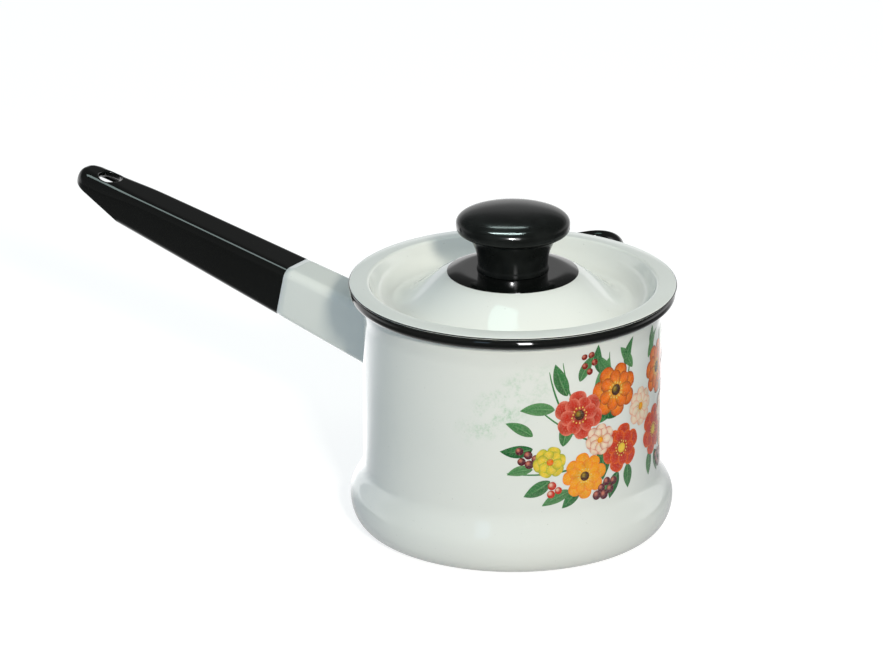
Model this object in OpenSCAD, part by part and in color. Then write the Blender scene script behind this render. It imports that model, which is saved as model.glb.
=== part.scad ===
// Enamelled saucepan with a pouring lip, a hollow stamped handle and a lift-off lid.
// The origin is on the pot's axis in the plane it stands on. The handle points along -X,
// the pouring lip along +Y.

/* [Pot] */
// Outside radius of the straight wall
wall_r = 68.3; // [60:0.1:80]
// Thickness of the enamelled sheet in the wall and the base
wall_t = 1.2; // [0.8:0.1:1.8]
// How far the bell stands out from the straight wall
bell_out = 6.1; // [3:0.1:12]
// Height of the bell's widest line
bell_z = 13.5; // [9:0.5:18]
// Height at which the bell has run out into the straight wall
bell_top = 30; // [24:0.5:45]
// How far the flat foot stays inside the bell's widest line
foot_in = 8.4; // [5:0.1:14]
// Height of the top of the rolled rim
rim_top = 114.5; // [100:0.5:150]
// Diameter of the rolled rim's round section
roll_d = 5.7; // [4:0.1:7]
// How far the roll's outside stands out from the straight wall
roll_out = 6.3; // [5:0.1:8]
// How far the mouth widens below the roll
mouth_flare = 1.6; // [0.6:0.1:2.2]
// Height over which the mouth widens
flare_h = 11; // [6:0.5:16]

/* [Pouring lip] */
// How far the lip reaches beyond the round rim
lip_reach = 12; // [4:0.5:15]
// Half of the angle that the lip takes on the rim
lip_half_angle = 15.5; // [13:0.5:24]
// Height of wall below the roll over which the lip grows
lip_h = 27; // [18:1:34]
// How far the lip's nose rises above the rim
lip_rise = 0.6; // [0:0.1:2]

/* [Handle] */
// Length of the handle from the wall to its tip, along its top
handle_len = 176.8; // [140:0.2:210]
// Angle at which the handle climbs from the wall
handle_tilt = 12.4; // [4:0.1:20]
// Height from the handle's top edge at the wall up to the top of the rim
handle_drop = 24.2; // [20:0.1:34]
// Width of the handle at the wall
root_w = 22.9; // [19:0.1:27]
// Width of the handle at its tip
tip_w = 18.8; // [16.5:0.1:24]
// Depth of the handle at the wall
root_depth = 28.6; // [22:0.1:32]
// Depth of the closed underside at its outer end
scoop_depth = 17.3; // [13:0.1:20]
// Upward bow of the handle's top at half length
handle_bow = 0.2; // [0:0.1:3]
// Thickness of the handle's enamelled sheet
handle_t = 1.2; // [0.9:0.1:1.6]
// Radius of the two long edges of the top
top_round = 4.2; // [3:0.1:6]
// Radius of the same edges around the hanging hole, where the top is domed
tip_round = 6.4; // [3:0.1:8]
// Radius of the two long edges of the underside
bottom_round = 3.6; // [2.5:0.1:5]
// Width of the open seam along the underside
seam_w = 3.2; // [1.5:0.1:6]
// Length of the scooped end, where the underside is open
scoop_len = 30; // [24:0.5:36]
// Distance from the wall to the line where the dark enamel starts
dip_line = 51.2; // [30:0.1:90]
// Distance from the tip to the middle of the hanging hole
hole_inset = 16; // [13:0.5:20]
// Radius of the hanging hole
hole_r = 5.5; // [4:0.1:6]
// Width and height of the weld that runs round the handle's root
weld = 1.3; // [0.6:0.1:2]

/* [Lid] */
// How far the lid's edge reaches beyond the roll
lid_over = 0.4; // [0.1:0.1:3]
// Thickness of the lid's enamelled sheet
lid_t = 1; // [0.7:0.1:1.4]
// Radial play between the lid's sunk wall and the pot's mouth
lid_play = 1.7; // [1:0.1:3]
// Depth of the lid's sunk ring below its flange
sunk_depth = 10.6; // [8:0.1:14]
// Slope of the cone that climbs from the sunk ring to the boss
cone_slope = 36.6; // [25:0.1:45]
// Slope of the sunk wall below the flange
sunk_slope = 70; // [60:1:80]
// Radius of the lid's flat boss, as a share of the wall's
boss_share = 0.315; // [0.28:0.005:0.38]
// How far the black enamelled centre reaches down past the boss
centre_over = 8.6; // [4:0.1:10]
// Thickness of the black enamel
enamel_t = 0.3; // [0.2:0.05:0.5]

/* [Knob] */
// Radius of the knob's cap at its widest
cap_r = 26.1; // [22:0.1:32]
// Height of the knob
knob_h = 28.5; // [24:0.1:36]
// Radius of the screw's thread
screw_r = 2; // [1.5:0.1:3]
// Radius of the screw's head
screw_head_r = 4; // [3.4:0.1:5]

/* [Hidden] */
$fn = 120;
overrun = 1;
white = "whitesmoke";
black = "#161818";

// Heights and radii of the pot
bell_r = wall_r + bell_out;
foot_r = bell_r - foot_in;
handle_root_z = rim_top - handle_drop;
roll_r = roll_d / 2;
roll_mid_r = wall_r + roll_out - roll_r;
roll_mid_z = rim_top - roll_r;
roll_foot_z = roll_mid_z - roll_r;
inner_r = wall_r - wall_t;
lip_angle = 90;
lip_level_share = 0.35;
band_foot_z = roll_foot_z - lip_h;

// The upper wall, which carries the lip, is let into the wall below just inside its faces
let_in = 1;
out_inset = 0.03;
in_inset = 0.14;

// Steps around the rim, closer together in the lip
lip_steps = 26;
round_steps = 64;
lip_pitch = 2 * lip_half_angle / lip_steps;
round_pitch = (360 - 2 * lip_half_angle) / round_steps;
rim_angles = concat(
    [for (i = [lip_steps:-1:1]) lip_angle - lip_half_angle + i * lip_pitch],
    [for (i = [round_steps:-1:1]) lip_angle + lip_half_angle + i * round_pitch]);
rise_shares = [0, 0.12, 0.24, 0.36, 0.48, 0.6, 0.7, 0.79, 0.87, 0.94, 1];

// Round shapes are worked out from points along their outlines
bell_steps = 8;
roll_steps = 16;
roll_start = -131;
roll_end = 180;

// Handle, in its own frame: X runs out from the wall along the top, Z is square to the top
handle_in = root_depth / 2;
scoop_start = handle_len - scoop_len;
scoop_blend = 2.4;
scoop_step = 1.4;
dome_run = 27;
tip_depth = 6;
tip_edge = 1.8;
tip_corner = 8.4;
nose_r = 4.2;
hem = 0.8;
min_gap = 0.3;
seam_lift = 0.4;
sharp_round = 0.5;
corner_steps = 5;
neck_shares = [0, 0.35, 0.68, 1];
grip_shares = [0, 0.2, 0.4, 0.6, 0.8, 1];
blend_shares = [0.35, 0.7, 1];
scoop_shares = [0.18, 0.36, 0.54, 0.7, 0.8, 0.88, 0.94, 0.98, 1];
hole_x = handle_len - hole_inset;
collar_t = 0.9;
collar_h = 3.2;
collar_sink = 1;
hole_round = 0.9;
hole_turn = 65;

// Lid, with heights above the flange's upper face
lid_r = wall_r + roll_out + lid_over;
boss_r = boss_share * wall_r;
centre_r = boss_r + centre_over;
flange_z = rim_top + lid_t;
boss_round = 17;
valley_round = 17;
sunk_round = 9.6;
crease_round = 1.6;
lid_steps = 7;
flange_in_r = inner_r + mouth_flare - lid_play;
wall_run = (sunk_depth - (sunk_round + crease_round) * (1 - cos(sunk_slope))) / tan(sunk_slope);
valley_r = flange_in_r - (crease_round + sunk_round) * sin(sunk_slope) - wall_run;
cone_run = valley_r - boss_r - (valley_round + boss_round) * sin(cone_slope);
boss_h = (valley_round + boss_round) * (1 - cos(cone_slope)) + cone_run * tan(cone_slope) - sunk_depth;
boss_z = flange_z + boss_h;
edge_w = 0.4;
edge_h = 0.45;
edge_drop = 0.3;

// Knob and its fixing. The shares are control points, across and up, of its outline.
knob_z = boss_z + enamel_t;
cap_shares = [[0, 1], [0.46, 1], [1, 0.895], [1, 0.79]];
brim_shares = [[1, 0.79], [1, 0.56], [0.93, 0.66], [0.766, 0.57]];
neck_curve_shares = [[0.766, 0.57], [0.713, 0.43], [0.613, 0.32], [0.613, 0.07]];
knob_foot_share = 0.632;
foot_wall = 4.2;
recess_h = 2;
insert_r = screw_r + 1.4;
insert_len = 13;
insert_boss_r = insert_r + 2.4;
shank_play = 0.3;
washer_r = screw_head_r + 1.6;
washer_t = 1;
screw_head_h = 2.6;
slot_w = 1;
slot_h = 1.2;

// Rises smoothly from 0 to 1
function smooth(x) = let(c = min(1, max(0, x))) c * c * (3 - 2 * c);

function mix(a, b, share) = a + (b - a) * share;

function reversed(list) = [for (i = [len(list) - 1:-1:0]) list[i]];

// Points of an arc that is turned from angle a to angle b
function arc(mid, r, a, b, steps) =
    [for (i = [0:steps]) let(q = mix(a, b, i / steps)) mid + r * [cos(q), sin(q)]];

// A cubic curve between its first and last control point
function curve(p, steps) =
    [for (i = [0:steps]) let(t = i / steps, s = 1 - t)
        s * s * s * p[0] + 3 * s * s * t * p[1] + 3 * s * t * t * p[2] + t * t * t * p[3]];

// Moves an outline sideways, to the left of its direction of travel
function shifted(path, d) =
    [for (i = [0:len(path) - 1])
        let(v = path[min(i + 1, len(path) - 1)] - path[max(i - 1, 0)])
        path[i] + d * [-v[1], v[0]] / norm(v)];

// Closed skin over rows that each hold the same number of points. Each row goes along an
// outer outline and back along an inner one. A closed end is a wall between the two.
module loft(rows, closed_end = false) {
    n = len(rows[0]);
    m = n / 2;
    last = (len(rows) - 1) * n;
    end = closed_end
        ? [[for (j = [m - 1:-1:0]) j], [for (j = [n - 1:-1:m]) j], [m - 1, 0, n - 1, m]]
        : [[for (j = [n - 1:-1:0]) j]];
    polyhedron(
        points = [for (row = rows, p = row) p],
        faces = concat(
            [for (i = [0:n:last - n], j = [0:n - 1]) let(k = (j + 1) % n)
                each [[i + j, i + n + j, i + n + k], [i + j, i + n + k, i + k]]],
            [[for (j = [0:n - 1]) j]],
            [for (face = end) [for (j = face) last + j]]),
        convexity = 8);
}

// Share of the lip's reach at an angle around the rim
function lip_share(angle) =
    let(d = abs(angle - lip_angle))
    d < lip_half_angle ? (1 + cos(180 * d / lip_half_angle)) / 2 : 0;

// Height that the rim has gained where it has this share of the lip's reach
function lip_up(share) = lip_rise * smooth((share - lip_level_share) / (1 - lip_level_share));

// Slope of the lip's outline at an angle, in length per radian
function lip_slope(angle) =
    let(d = angle - lip_angle)
    abs(d) < lip_half_angle ? -lip_reach * 90 / lip_half_angle * sin(180 * d / lip_half_angle) : 0;

// A point of the rim or the wall. The outline through the roll's middle bends out in the lip,
// and every other point keeps its distance to that outline, measured square to it.
function rim_point(angle, r, z, follow) =
    let(mid = roll_mid_r + lip_reach * follow * lip_share(angle),
        slope = lip_slope(angle) * follow,
        along = norm([mid, slope]),
        off = r - roll_mid_r,
        out = mid + off * mid / along,
        side = off * slope / along)
    [out * cos(angle) + side * sin(angle),
     out * sin(angle) - side * cos(angle),
     z + follow * lip_up(lip_share(angle))];

// Widening of the mouth at a height
function flare(z) = mouth_flare * smooth((z - roll_foot_z) / flare_h + 1);

// Outline of the pot from the middle of its foot up to the wall that carries the lip
pot_path = concat([[0, 0]],
    [for (i = [0:bell_steps]) let(q = 90 * i / bell_steps)
        [foot_r + (bell_r - foot_r) * sin(q), bell_z * (1 - cos(q))]],
    [for (i = [1:bell_steps]) let(q = 180 * i / bell_steps)
        [wall_r + (bell_r - wall_r) * (1 + cos(q)) / 2, mix(bell_z, bell_top, i / bell_steps)]],
    [[wall_r, band_foot_z]]);

// Section of the upper wall, as radius, height and share of the lip that it follows
band_rows = concat([[band_foot_z - let_in, 0], [band_foot_z + let_in, 0]],
    [for (s = rise_shares) [mix(band_foot_z + 2 * let_in, roll_foot_z, s), smooth(s)]]);
band_section = concat(
    [for (p = band_rows) [wall_r - out_inset + flare(p[0]), p[0], p[1]]],
    [for (p = reversed(band_rows)) [inner_r + in_inset + flare(p[0]), p[0], p[1]]]);

// Section of the rolled rim, which stands on the upper wall
roll_section = concat(
    [[wall_r - out_inset + mouth_flare, roll_foot_z, 1]],
    [for (p = arc([roll_mid_r, roll_mid_z], roll_r, roll_start, roll_end, roll_steps)) [p[0], p[1], 1]],
    [[inner_r + in_inset + mouth_flare, roll_foot_z, 1]]);

// Sweeps a section right around the rim and through the lip
module rim_sweep(section) {
    rows = len(rim_angles);
    n = len(section);
    polyhedron(
        points = [for (a = rim_angles, p = section) rim_point(a, p[0], p[1], p[2])],
        faces = [for (i = [0:rows - 1], j = [0:n - 1])
            let(k = (j + 1) % n, here = i * n, next = (i + 1) % rows * n)
            each [[here + j, next + j, next + k], [here + j, next + k, here + k]]],
        convexity = 8);
}

module pot_shell() {
    color(white) {
        rotate_extrude() polygon(concat(pot_path, reversed(shifted(pot_path, wall_t))));
        rim_sweep(band_section);
    }
}

module rolled_rim() {
    color(black) rim_sweep(roll_section);
}

// Handle sizes at a distance from the wall
function bow(x) = 4 * handle_bow * x / handle_len * (1 - x / handle_len);

function nose(x) = max(0, (x - handle_len + nose_r) / nose_r);

function top_z(x) = bow(x) - nose_r * (1 - sqrt(max(0, 1 - nose(x) * nose(x))));

function tip_turn(x) = max(0, (x - handle_len + tip_corner) / tip_corner);

function half_w(x) =
    mix(root_w, tip_w, x / handle_len) / 2 - tip_corner * (1 - sqrt(max(0, 1 - tip_turn(x) * tip_turn(x))));

function closed_depth(x) = mix(root_depth, scoop_depth, x / scoop_start);

// Radius of the top's long edges
function edge_round(x) =
    mix(top_round, tip_round, smooth((x - scoop_start + dome_run - scoop_len / 2) / dome_run));

// Share by which the underside has opened at the scooped end
function opened(x) = smooth((x - scoop_start) / scoop_blend);

function scoop_z(x) =
    mix(scoop_step - scoop_depth, -tip_depth, max(0, (x - scoop_start) / scoop_len));

function bottom_z(x) =
    min(mix(-closed_depth(x), scoop_z(x), opened(x)), top_z(x) - tip_edge);

function mirrored(half) = concat(half, [for (p = reversed(half)) [-p[0], p[1]]]);

// Right half of the handle's section, from its underside to its top, grown outwards
function half_outline(x, grow) =
    let(w = half_w(x) + grow,
        low = bottom_z(x) - grow,
        top = top_z(x) + grow,
        tall = top - low,
        low_r = max(sharp_round, min(mix(bottom_round, sharp_round, opened(x)) + grow, tall / 3)),
        top_r = max(sharp_round, min(edge_round(x) + grow, tall - low_r, w - min_gap)))
    concat(
        arc([w - low_r, low + low_r], low_r, -90, 0, corner_steps),
        arc([w - top_r, top - top_r], top_r, 0, 90, corner_steps));

// The outline from one edge of the seam around to the other
function open_outline(x, grow) =
    let(edge = max(min_gap, mix(seam_w / 2, half_w(x) - handle_t - hem, opened(x))),
        low = bottom_z(x) - grow + seam_lift)
    [for (p = concat([[edge, low]], mirrored(half_outline(x, grow)), [[-edge, low]])) [x, p[0], p[1]]];

// The handle's sheet, drawn at one list of places outside and at another inside
module handle_channel(places, inner_places, closed_end = false) {
    loft([for (i = [0:len(places) - 1])
        concat(open_outline(places[i], 0), reversed(open_outline(inner_places[i], -handle_t)))],
        closed_end);
}

// The handle's outer shape without its hollow
module handle_form(places, grow) {
    loft([for (x = places) [for (p = mirrored(half_outline(x, grow))) [x, p[0], p[1]]]]);
}

module at_handle() {
    rotate([0, 0, 180])
        translate([wall_r, 0, handle_root_z])
        rotate([0, -handle_tilt, 0])
        children();
}

module wall_core(r, down) {
    translate([0, 0, -down]) cylinder(r = r, h = rim_top + 2 * down);
}

// Distances from the wall at which the handle's sections are drawn
neck_places = [for (s = neck_shares) mix(-handle_in, dip_line, s)];

function grip_places(end) = concat(
    [for (s = grip_shares) mix(dip_line, scoop_start, s)],
    [for (s = blend_shares) scoop_start + scoop_blend * s],
    [for (s = scoop_shares) mix(scoop_start + scoop_blend, end, s)]);

module handle_neck() {
    color(white) difference() {
        at_handle() handle_channel(neck_places, neck_places);
        wall_core(wall_r, 0);
    }
}

// The hanging hole, rounded at its upper edge
hole_edge = arc([hole_r + hole_round, -hole_round], hole_round, 180, 180 - hole_turn, 3);
hole_outline = concat(
    [[0, -collar_h - overrun], [hole_r, -collar_h - overrun]], hole_edge,
    [[hole_edge[3][0], overrun], [0, overrun]]);

module handle_grip() {
    color(black) at_handle() difference() {
        union() {
            handle_channel(grip_places(handle_len), grip_places(handle_len - handle_t), true);
            translate([hole_x, 0, top_z(hole_x) - collar_h])
                cylinder(r = hole_r + collar_t, h = collar_h - collar_sink);
        }
        translate([hole_x, 0, top_z(hole_x)]) rotate_extrude() polygon(hole_outline);
    }
}

module handle_weld() {
    color(white) difference() {
        intersection() {
            wall_core(wall_r + weld, 0);
            at_handle() handle_form(neck_places, weld);
        }
        wall_core(wall_r, overrun);
        at_handle() handle_form(neck_places, 0);
    }
}

// Upper outline of the lid's boss, out to the edge of its black centre
centre_turn = asin((centre_r - boss_r) / boss_round);
boss_mid = [boss_r, boss_z - boss_round];
centre_path = concat(
    [[screw_r + shank_play, boss_z]],
    arc(boss_mid, boss_round, 90, 90 - centre_turn, lid_steps));

// Upper outline of the whole lid, from its middle out to its edge
lid_path = concat(
    centre_path,
    arc(boss_mid, boss_round, 90 - centre_turn, 90 - cone_slope, lid_steps),
    arc([valley_r, flange_z - sunk_depth + valley_round], valley_round, 270 - cone_slope, 270, lid_steps),
    arc([valley_r, flange_z - sunk_depth + sunk_round], sunk_round, 270, 270 + sunk_slope, lid_steps),
    arc([flange_in_r, flange_z - crease_round], crease_round, 90 + sunk_slope, 90, lid_steps),
    [[lid_r - edge_w, flange_z]]);

module lid_shell() {
    color(white) rotate_extrude()
        polygon(concat(lid_path, reversed(shifted(lid_path, -lid_t))));
}

module lid_edge() {
    color(black) translate([0, 0, flange_z - edge_drop - edge_h]) difference() {
        cylinder(r = lid_r, h = edge_h);
        translate([0, 0, -overrun]) cylinder(r = lid_r - edge_w, h = edge_h + 2 * overrun);
    }
}

module lid_centre() {
    color(black) rotate_extrude()
        polygon(concat(centre_path, reversed(shifted(centre_path, enamel_t))));
}

// Outline of the knob from its top down to its foot, above the face it stands on
function knob_curve(shares) = curve([for (p = shares) [p[0] * cap_r, p[1] * knob_h]], lid_steps);

knob_foot_r = knob_foot_share * cap_r;
knob_path = concat(
    knob_curve(cap_shares), knob_curve(brim_shares), knob_curve(neck_curve_shares),
    [[knob_foot_r, 0], [0, 0]]);

module knob() {
    color(black) translate([0, 0, knob_z]) difference() {
        rotate_extrude() polygon(knob_path);
        difference() {
            translate([0, 0, -overrun]) cylinder(r = knob_foot_r - foot_wall, h = recess_h + overrun);
            translate([0, 0, -2 * overrun]) cylinder(r = insert_boss_r, h = recess_h + 4 * overrun);
        }
        translate([0, 0, -overrun]) cylinder(r = insert_r, h = insert_len + overrun);
    }
}

module knob_insert() {
    color("goldenrod") translate([0, 0, knob_z]) difference() {
        cylinder(r = insert_r, h = insert_len);
        translate([0, 0, -overrun]) cylinder(r = screw_r, h = insert_len);
    }
}

washer_z = boss_z - lid_t - washer_t;

module knob_screw() {
    color("silver") difference() {
        union() {
            translate([0, 0, washer_z]) cylinder(r = screw_r, h = knob_z + insert_len - 2 * overrun - washer_z);
            translate([0, 0, washer_z - screw_head_h]) cylinder(r = screw_head_r, h = screw_head_h);
        }
        translate([-screw_head_r - overrun, -slot_w / 2, washer_z - screw_head_h - overrun])
            cube([2 * (screw_head_r + overrun), slot_w, slot_h + overrun]);
    }
}

module flat_washer() {
    color("silver") translate([0, 0, washer_z]) difference() {
        cylinder(r = washer_r, h = washer_t);
        translate([0, 0, -overrun]) cylinder(r = screw_r + shank_play, h = washer_t + 2 * overrun);
    }
}

pot_shell();
rolled_rim();
handle_neck();
handle_grip();
handle_weld();
lid_shell();
lid_edge();
lid_centre();
knob();
knob_insert();
knob_screw();
flat_washer();
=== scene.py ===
"""Looks for an enamelled saucepan: smooth skins over the CAD frame, printed flowers, studio and camera.

The frame is in metres: the pot's axis is Z, the handle points along -X and the pouring lip along +Y.
Sizes below are in millimetres, as in the CAD source, and MM turns them into metres.
"""

import math
import random

import bmesh
import bpy
from mathutils import Matrix, Vector


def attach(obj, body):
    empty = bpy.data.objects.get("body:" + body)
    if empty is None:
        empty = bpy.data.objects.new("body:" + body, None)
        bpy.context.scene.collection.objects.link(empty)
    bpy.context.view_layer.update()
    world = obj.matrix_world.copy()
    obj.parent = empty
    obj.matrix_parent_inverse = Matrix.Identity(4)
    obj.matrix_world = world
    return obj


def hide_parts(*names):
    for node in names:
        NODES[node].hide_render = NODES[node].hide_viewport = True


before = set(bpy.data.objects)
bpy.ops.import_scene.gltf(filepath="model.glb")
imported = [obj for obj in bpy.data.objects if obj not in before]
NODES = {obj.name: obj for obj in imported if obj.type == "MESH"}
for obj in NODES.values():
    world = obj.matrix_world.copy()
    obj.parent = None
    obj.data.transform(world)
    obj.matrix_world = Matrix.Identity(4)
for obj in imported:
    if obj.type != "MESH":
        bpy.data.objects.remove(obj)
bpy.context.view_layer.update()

MM = 0.001

# Sizes, in millimetres

WALL_R, WALL_T = 68.3, 1.2
BELL_R, BELL_Z, BELL_TOP, FOOT_R = 74.4, 13.5, 30.0, 66.0
RIM_TOP, ROLL_R, ROLL_OUT, ROLL_START_ANGLE = 114.5, 2.85, 6.3, -131
MOUTH_FLARE, FLARE_H = 1.6, 11.0
LIP_REACH, LIP_HALF, LIP_H, LIP_RISE, LIP_ANGLE = 12.0, 15.5, 27.0, 0.6, 90.0
LIP_LEVEL, LIP_START = 0.35, 2.0
ROLL_MID_R = WALL_R + ROLL_OUT - ROLL_R
ROLL_MID_Z = RIM_TOP - ROLL_R
ROLL_FOOT_Z = ROLL_MID_Z - ROLL_R
INNER_R = WALL_R - WALL_T
BASE_RINGS = (0, 20, 45)
MIST_MIDDLE, MIST_REACH, MIST_SKIN, MIST_FADE = (34, -58, 81), (31, 30, 13), 0.7, 0.4

HANDLE_LEN, HANDLE_TILT, HANDLE_ROOT_Z = 176.8, 12.4, 90.3
ROOT_W, TIP_W, ROOT_DEPTH, SCOOP_DEPTH = 22.9, 18.8, 28.6, 17.3
HANDLE_BOW, HANDLE_T, BOTTOM_ROUND, SEAM_W = 0.2, 1.2, 3.6, 3.2
TOP_ROUND, TIP_ROUND, DOME_RUN, MIN_GAP = 4.2, 6.4, 27.0, 0.3
SCOOP_LEN, SCOOP_BLEND, SCOOP_STEP = 30.0, 2.4, 1.4
FAR_CUT, FAR_CUT_BEFORE, FAR_CUT_BLEND = 4.0, 7.0, 5.0
LEAST_ROUND, HEM_ROUND = 0.5, 0.4
TIP_DEPTH, TIP_EDGE, TIP_CORNER, NOSE_R, HEM = 6.0, 1.8, 8.4, 4.2, 0.8
DIP_LINE, HOLE_INSET, HOLE_R, HOLE_ROUND = 51.2, 16.0, 5.5, 0.9
COLLAR_T, COLLAR_H, COLLAR_MID = 0.9, 3.2, 2.0
HOLE_PATCH_X, HOLE_PATCH_Y = 8.2, 7.7
WELD = 1.3

LID_R, LID_T, LID_PLAY, SUNK_DEPTH = 75.0, 1.0, 1.7, 10.6
CONE_SLOPE, SUNK_SLOPE, BOSS_R, CENTRE_R, ENAMEL_T = 36.6, 70.0, 21.51, 30.11, 0.3
BOSS_ROUND, VALLEY_ROUND, SUNK_ROUND, CREASE_ROUND = 17.0, 17.0, 9.6, 1.6
EDGE_W, EDGE_H, EDGE_DROP, EDGE_ROUND = 0.4, 0.45, 0.3, 0.3
LID_BORE_R, BOSS_FLAT_R, CENTRE_NIP = 2.3, 12, 0.02
# These two leave the solid lid: its slope is fuller here, and its flange falls outwards.
SLOPE_FULLNESS, FLANGE_FALL = 1.25, 0.5
CAP_R, KNOB_H, KNOB_BORE_R = 26.1, 28.5, 4
KNOB_FOOT_W, KNOB_FOOT_H = 0.2, 0.25

# Outlines


def smooth(x):
    c = min(1.0, max(0.0, x))
    return c * c * (3 - 2 * c)


def mix(a, b, t):
    return a + (b - a) * t


def arc(mid, r, a, b, steps):
    """Points of an arc turned from angle a to angle b, in degrees."""
    turns = [math.radians(mix(a, b, i / steps)) for i in range(steps + 1)]
    return [(mid[0] + r * math.cos(q), mid[1] + r * math.sin(q)) for q in turns]


def bezier(p, steps):
    out = []
    for i in range(steps + 1):
        t = i / steps
        w = ((1 - t) ** 3, 3 * t * (1 - t) ** 2, 3 * t * t * (1 - t), t**3)
        out.append(tuple(sum(w[k] * p[k][c] for k in range(4)) for c in (0, 1)))
    return out


def joined(*paths):
    """One path from several, without the points that they share."""
    out = []
    for path in paths:
        for p in path:
            if not out or math.dist(p[:2], out[-1][:2]) > 1e-4:
                out.append(p)
    return out


def shifted(path, d):
    """The path moved sideways by d, to the left of its direction of travel."""
    out = []
    for i, p in enumerate(path):
        a, b = path[max(i - 1, 0)], path[min(i + 1, len(path) - 1)]
        v = (b[0] - a[0], b[1] - a[1])
        n = math.hypot(*v)
        out.append((p[0] - d * v[1] / n, p[1] + d * v[0] / n))
    return out


# Meshes


def grid_faces(rows, columns, close_rows=False, close_columns=False):
    faces = []
    for i in range(rows if close_rows else rows - 1):
        for j in range(columns if close_columns else columns - 1):
            a, b = i * columns, ((i + 1) % rows) * columns
            k = (j + 1) % columns
            faces.append((a + j, b + j, b + k, a + k))
    return faces


def piece(name, points, faces, body, material, replaces=(), tints=None):
    """A smooth mesh in the frame, from points in millimetres. It rides on a body and takes a material slot.

    Tints are colours for the points of an open sheet, whose faces already look outwards.
    """
    mesh = bpy.data.meshes.new(name)
    mesh.from_pydata([Vector(p) * MM for p in points], [], faces)
    if tints:
        layer = mesh.color_attributes.new("tint", "FLOAT_COLOR", "POINT")
        layer.data.foreach_set("color", [c for tint in tints for c in (*tint, 1.0)])
    mesh.validate()
    bm = bmesh.new()
    bm.from_mesh(mesh)
    bmesh.ops.remove_doubles(bm, verts=bm.verts, dist=1e-7)
    if not tints:
        bmesh.ops.recalc_face_normals(bm, faces=bm.faces)
    bm.to_mesh(mesh)
    bm.free()
    mesh.shade_smooth()
    mesh.materials.append(material)
    obj = bpy.data.objects.new(name, mesh)
    bpy.context.scene.collection.objects.link(obj)
    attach(obj, body)
    if replaces:
        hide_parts(*replaces)
    return obj


def lathe_points(path, turns):
    return [(r * math.cos(a), r * math.sin(a), z) for a in turns for r, z in path]


def even_turns(steps):
    return [math.tau * i / steps for i in range(steps)]


def lathe(name, path, body, material, replaces=(), steps=192, closed=False, crease=40):
    """A solid of revolution about the pot's axis. A path whose ends lie on the axis closes there."""
    turns = even_turns(steps)
    faces = grid_faces(steps, len(path), close_rows=True, close_columns=closed)
    sharpen(piece(name, lathe_points(path, turns), faces, body, material, replaces), crease)


def sharpen(obj, degrees):
    """Keeps edges that turn more than this many degrees crisp."""
    obj.data.set_sharp_from_angle(angle=math.radians(degrees))


# Materials


def shader(name, colour, roughness, **sockets):
    material = bpy.data.materials.new(name)
    material.use_nodes = True
    tree = material.node_tree
    bsdf = tree.nodes["Principled BSDF"]
    bsdf.inputs["Base Color"].default_value = (*colour, 1)
    bsdf.inputs["Roughness"].default_value = roughness
    for key, value in sockets.items():
        bsdf.inputs[key.replace("_", " ")].default_value = value
    return material, tree, bsdf


def place_in(tree, kind="Object"):
    """Coordinates of the point that is shaded."""
    return tree.nodes.new("ShaderNodeTexCoord").outputs[kind]


def mapped(tree, vector, kind="POINT", **sockets):
    """The vector moved, turned or scaled."""
    node = tree.nodes.new("ShaderNodeMapping")
    node.vector_type = kind
    for key, value in sockets.items():
        node.inputs[key].default_value = value
    tree.links.new(vector, node.inputs["Vector"])
    return node.outputs["Vector"]


def vector_math(tree, operation, vector):
    node = tree.nodes.new("ShaderNodeVectorMath")
    node.operation = operation
    tree.links.new(vector, node.inputs[0])
    return node


def length_of(tree, vector):
    return vector_math(tree, "LENGTH", vector).outputs["Value"]


def split(tree, vector):
    """The vector's X, Y and Z, by name."""
    node = tree.nodes.new("ShaderNodeSeparateXYZ")
    tree.links.new(vector, node.inputs["Vector"])
    return node.outputs


def noise(tree, scale, detail=2.0, roughness=0.5, vector=None):
    node = tree.nodes.new("ShaderNodeTexNoise")
    node.inputs["Scale"].default_value = scale
    node.inputs["Detail"].default_value = detail
    node.inputs["Roughness"].default_value = roughness
    tree.links.new(vector or place_in(tree), node.inputs["Vector"])
    return node.outputs["Fac"]


def remap(tree, value, low, high, to_low, to_high):
    node = tree.nodes.new("ShaderNodeMapRange")
    for key, number in (("From Min", low), ("From Max", high), ("To Min", to_low), ("To Max", to_high)):
        node.inputs[key].default_value = number
    tree.links.new(value, node.inputs["Value"])
    return node.outputs["Result"]


def blend(tree, factor, a, b, kind="MIX"):
    """Mixes colour b into colour a, or adds it.

    The factor is a socket or a float, and each colour is a socket or a tuple.
    """
    node = tree.nodes.new("ShaderNodeMix")
    node.data_type = "RGBA"
    node.blend_type = kind
    if isinstance(factor, float):
        node.inputs["Factor"].default_value = factor
    else:
        tree.links.new(factor, node.inputs["Factor"])
    for key, colour in (("A", a), ("B", b)):
        socket = [s for s in node.inputs if s.name == key and s.type == "RGBA"][0]
        if isinstance(colour, tuple):
            socket.default_value = (*colour, 1)
        else:
            tree.links.new(colour, socket)
    return [s for s in node.outputs if s.type == "RGBA"][0]


def bump(tree, bsdf, height, strength, distance):
    node = tree.nodes.new("ShaderNodeBump")
    node.inputs["Strength"].default_value = strength
    node.inputs["Distance"].default_value = distance
    tree.links.new(height, node.inputs["Height"])
    tree.links.new(node.outputs["Normal"], bsdf.inputs["Normal"])


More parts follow.
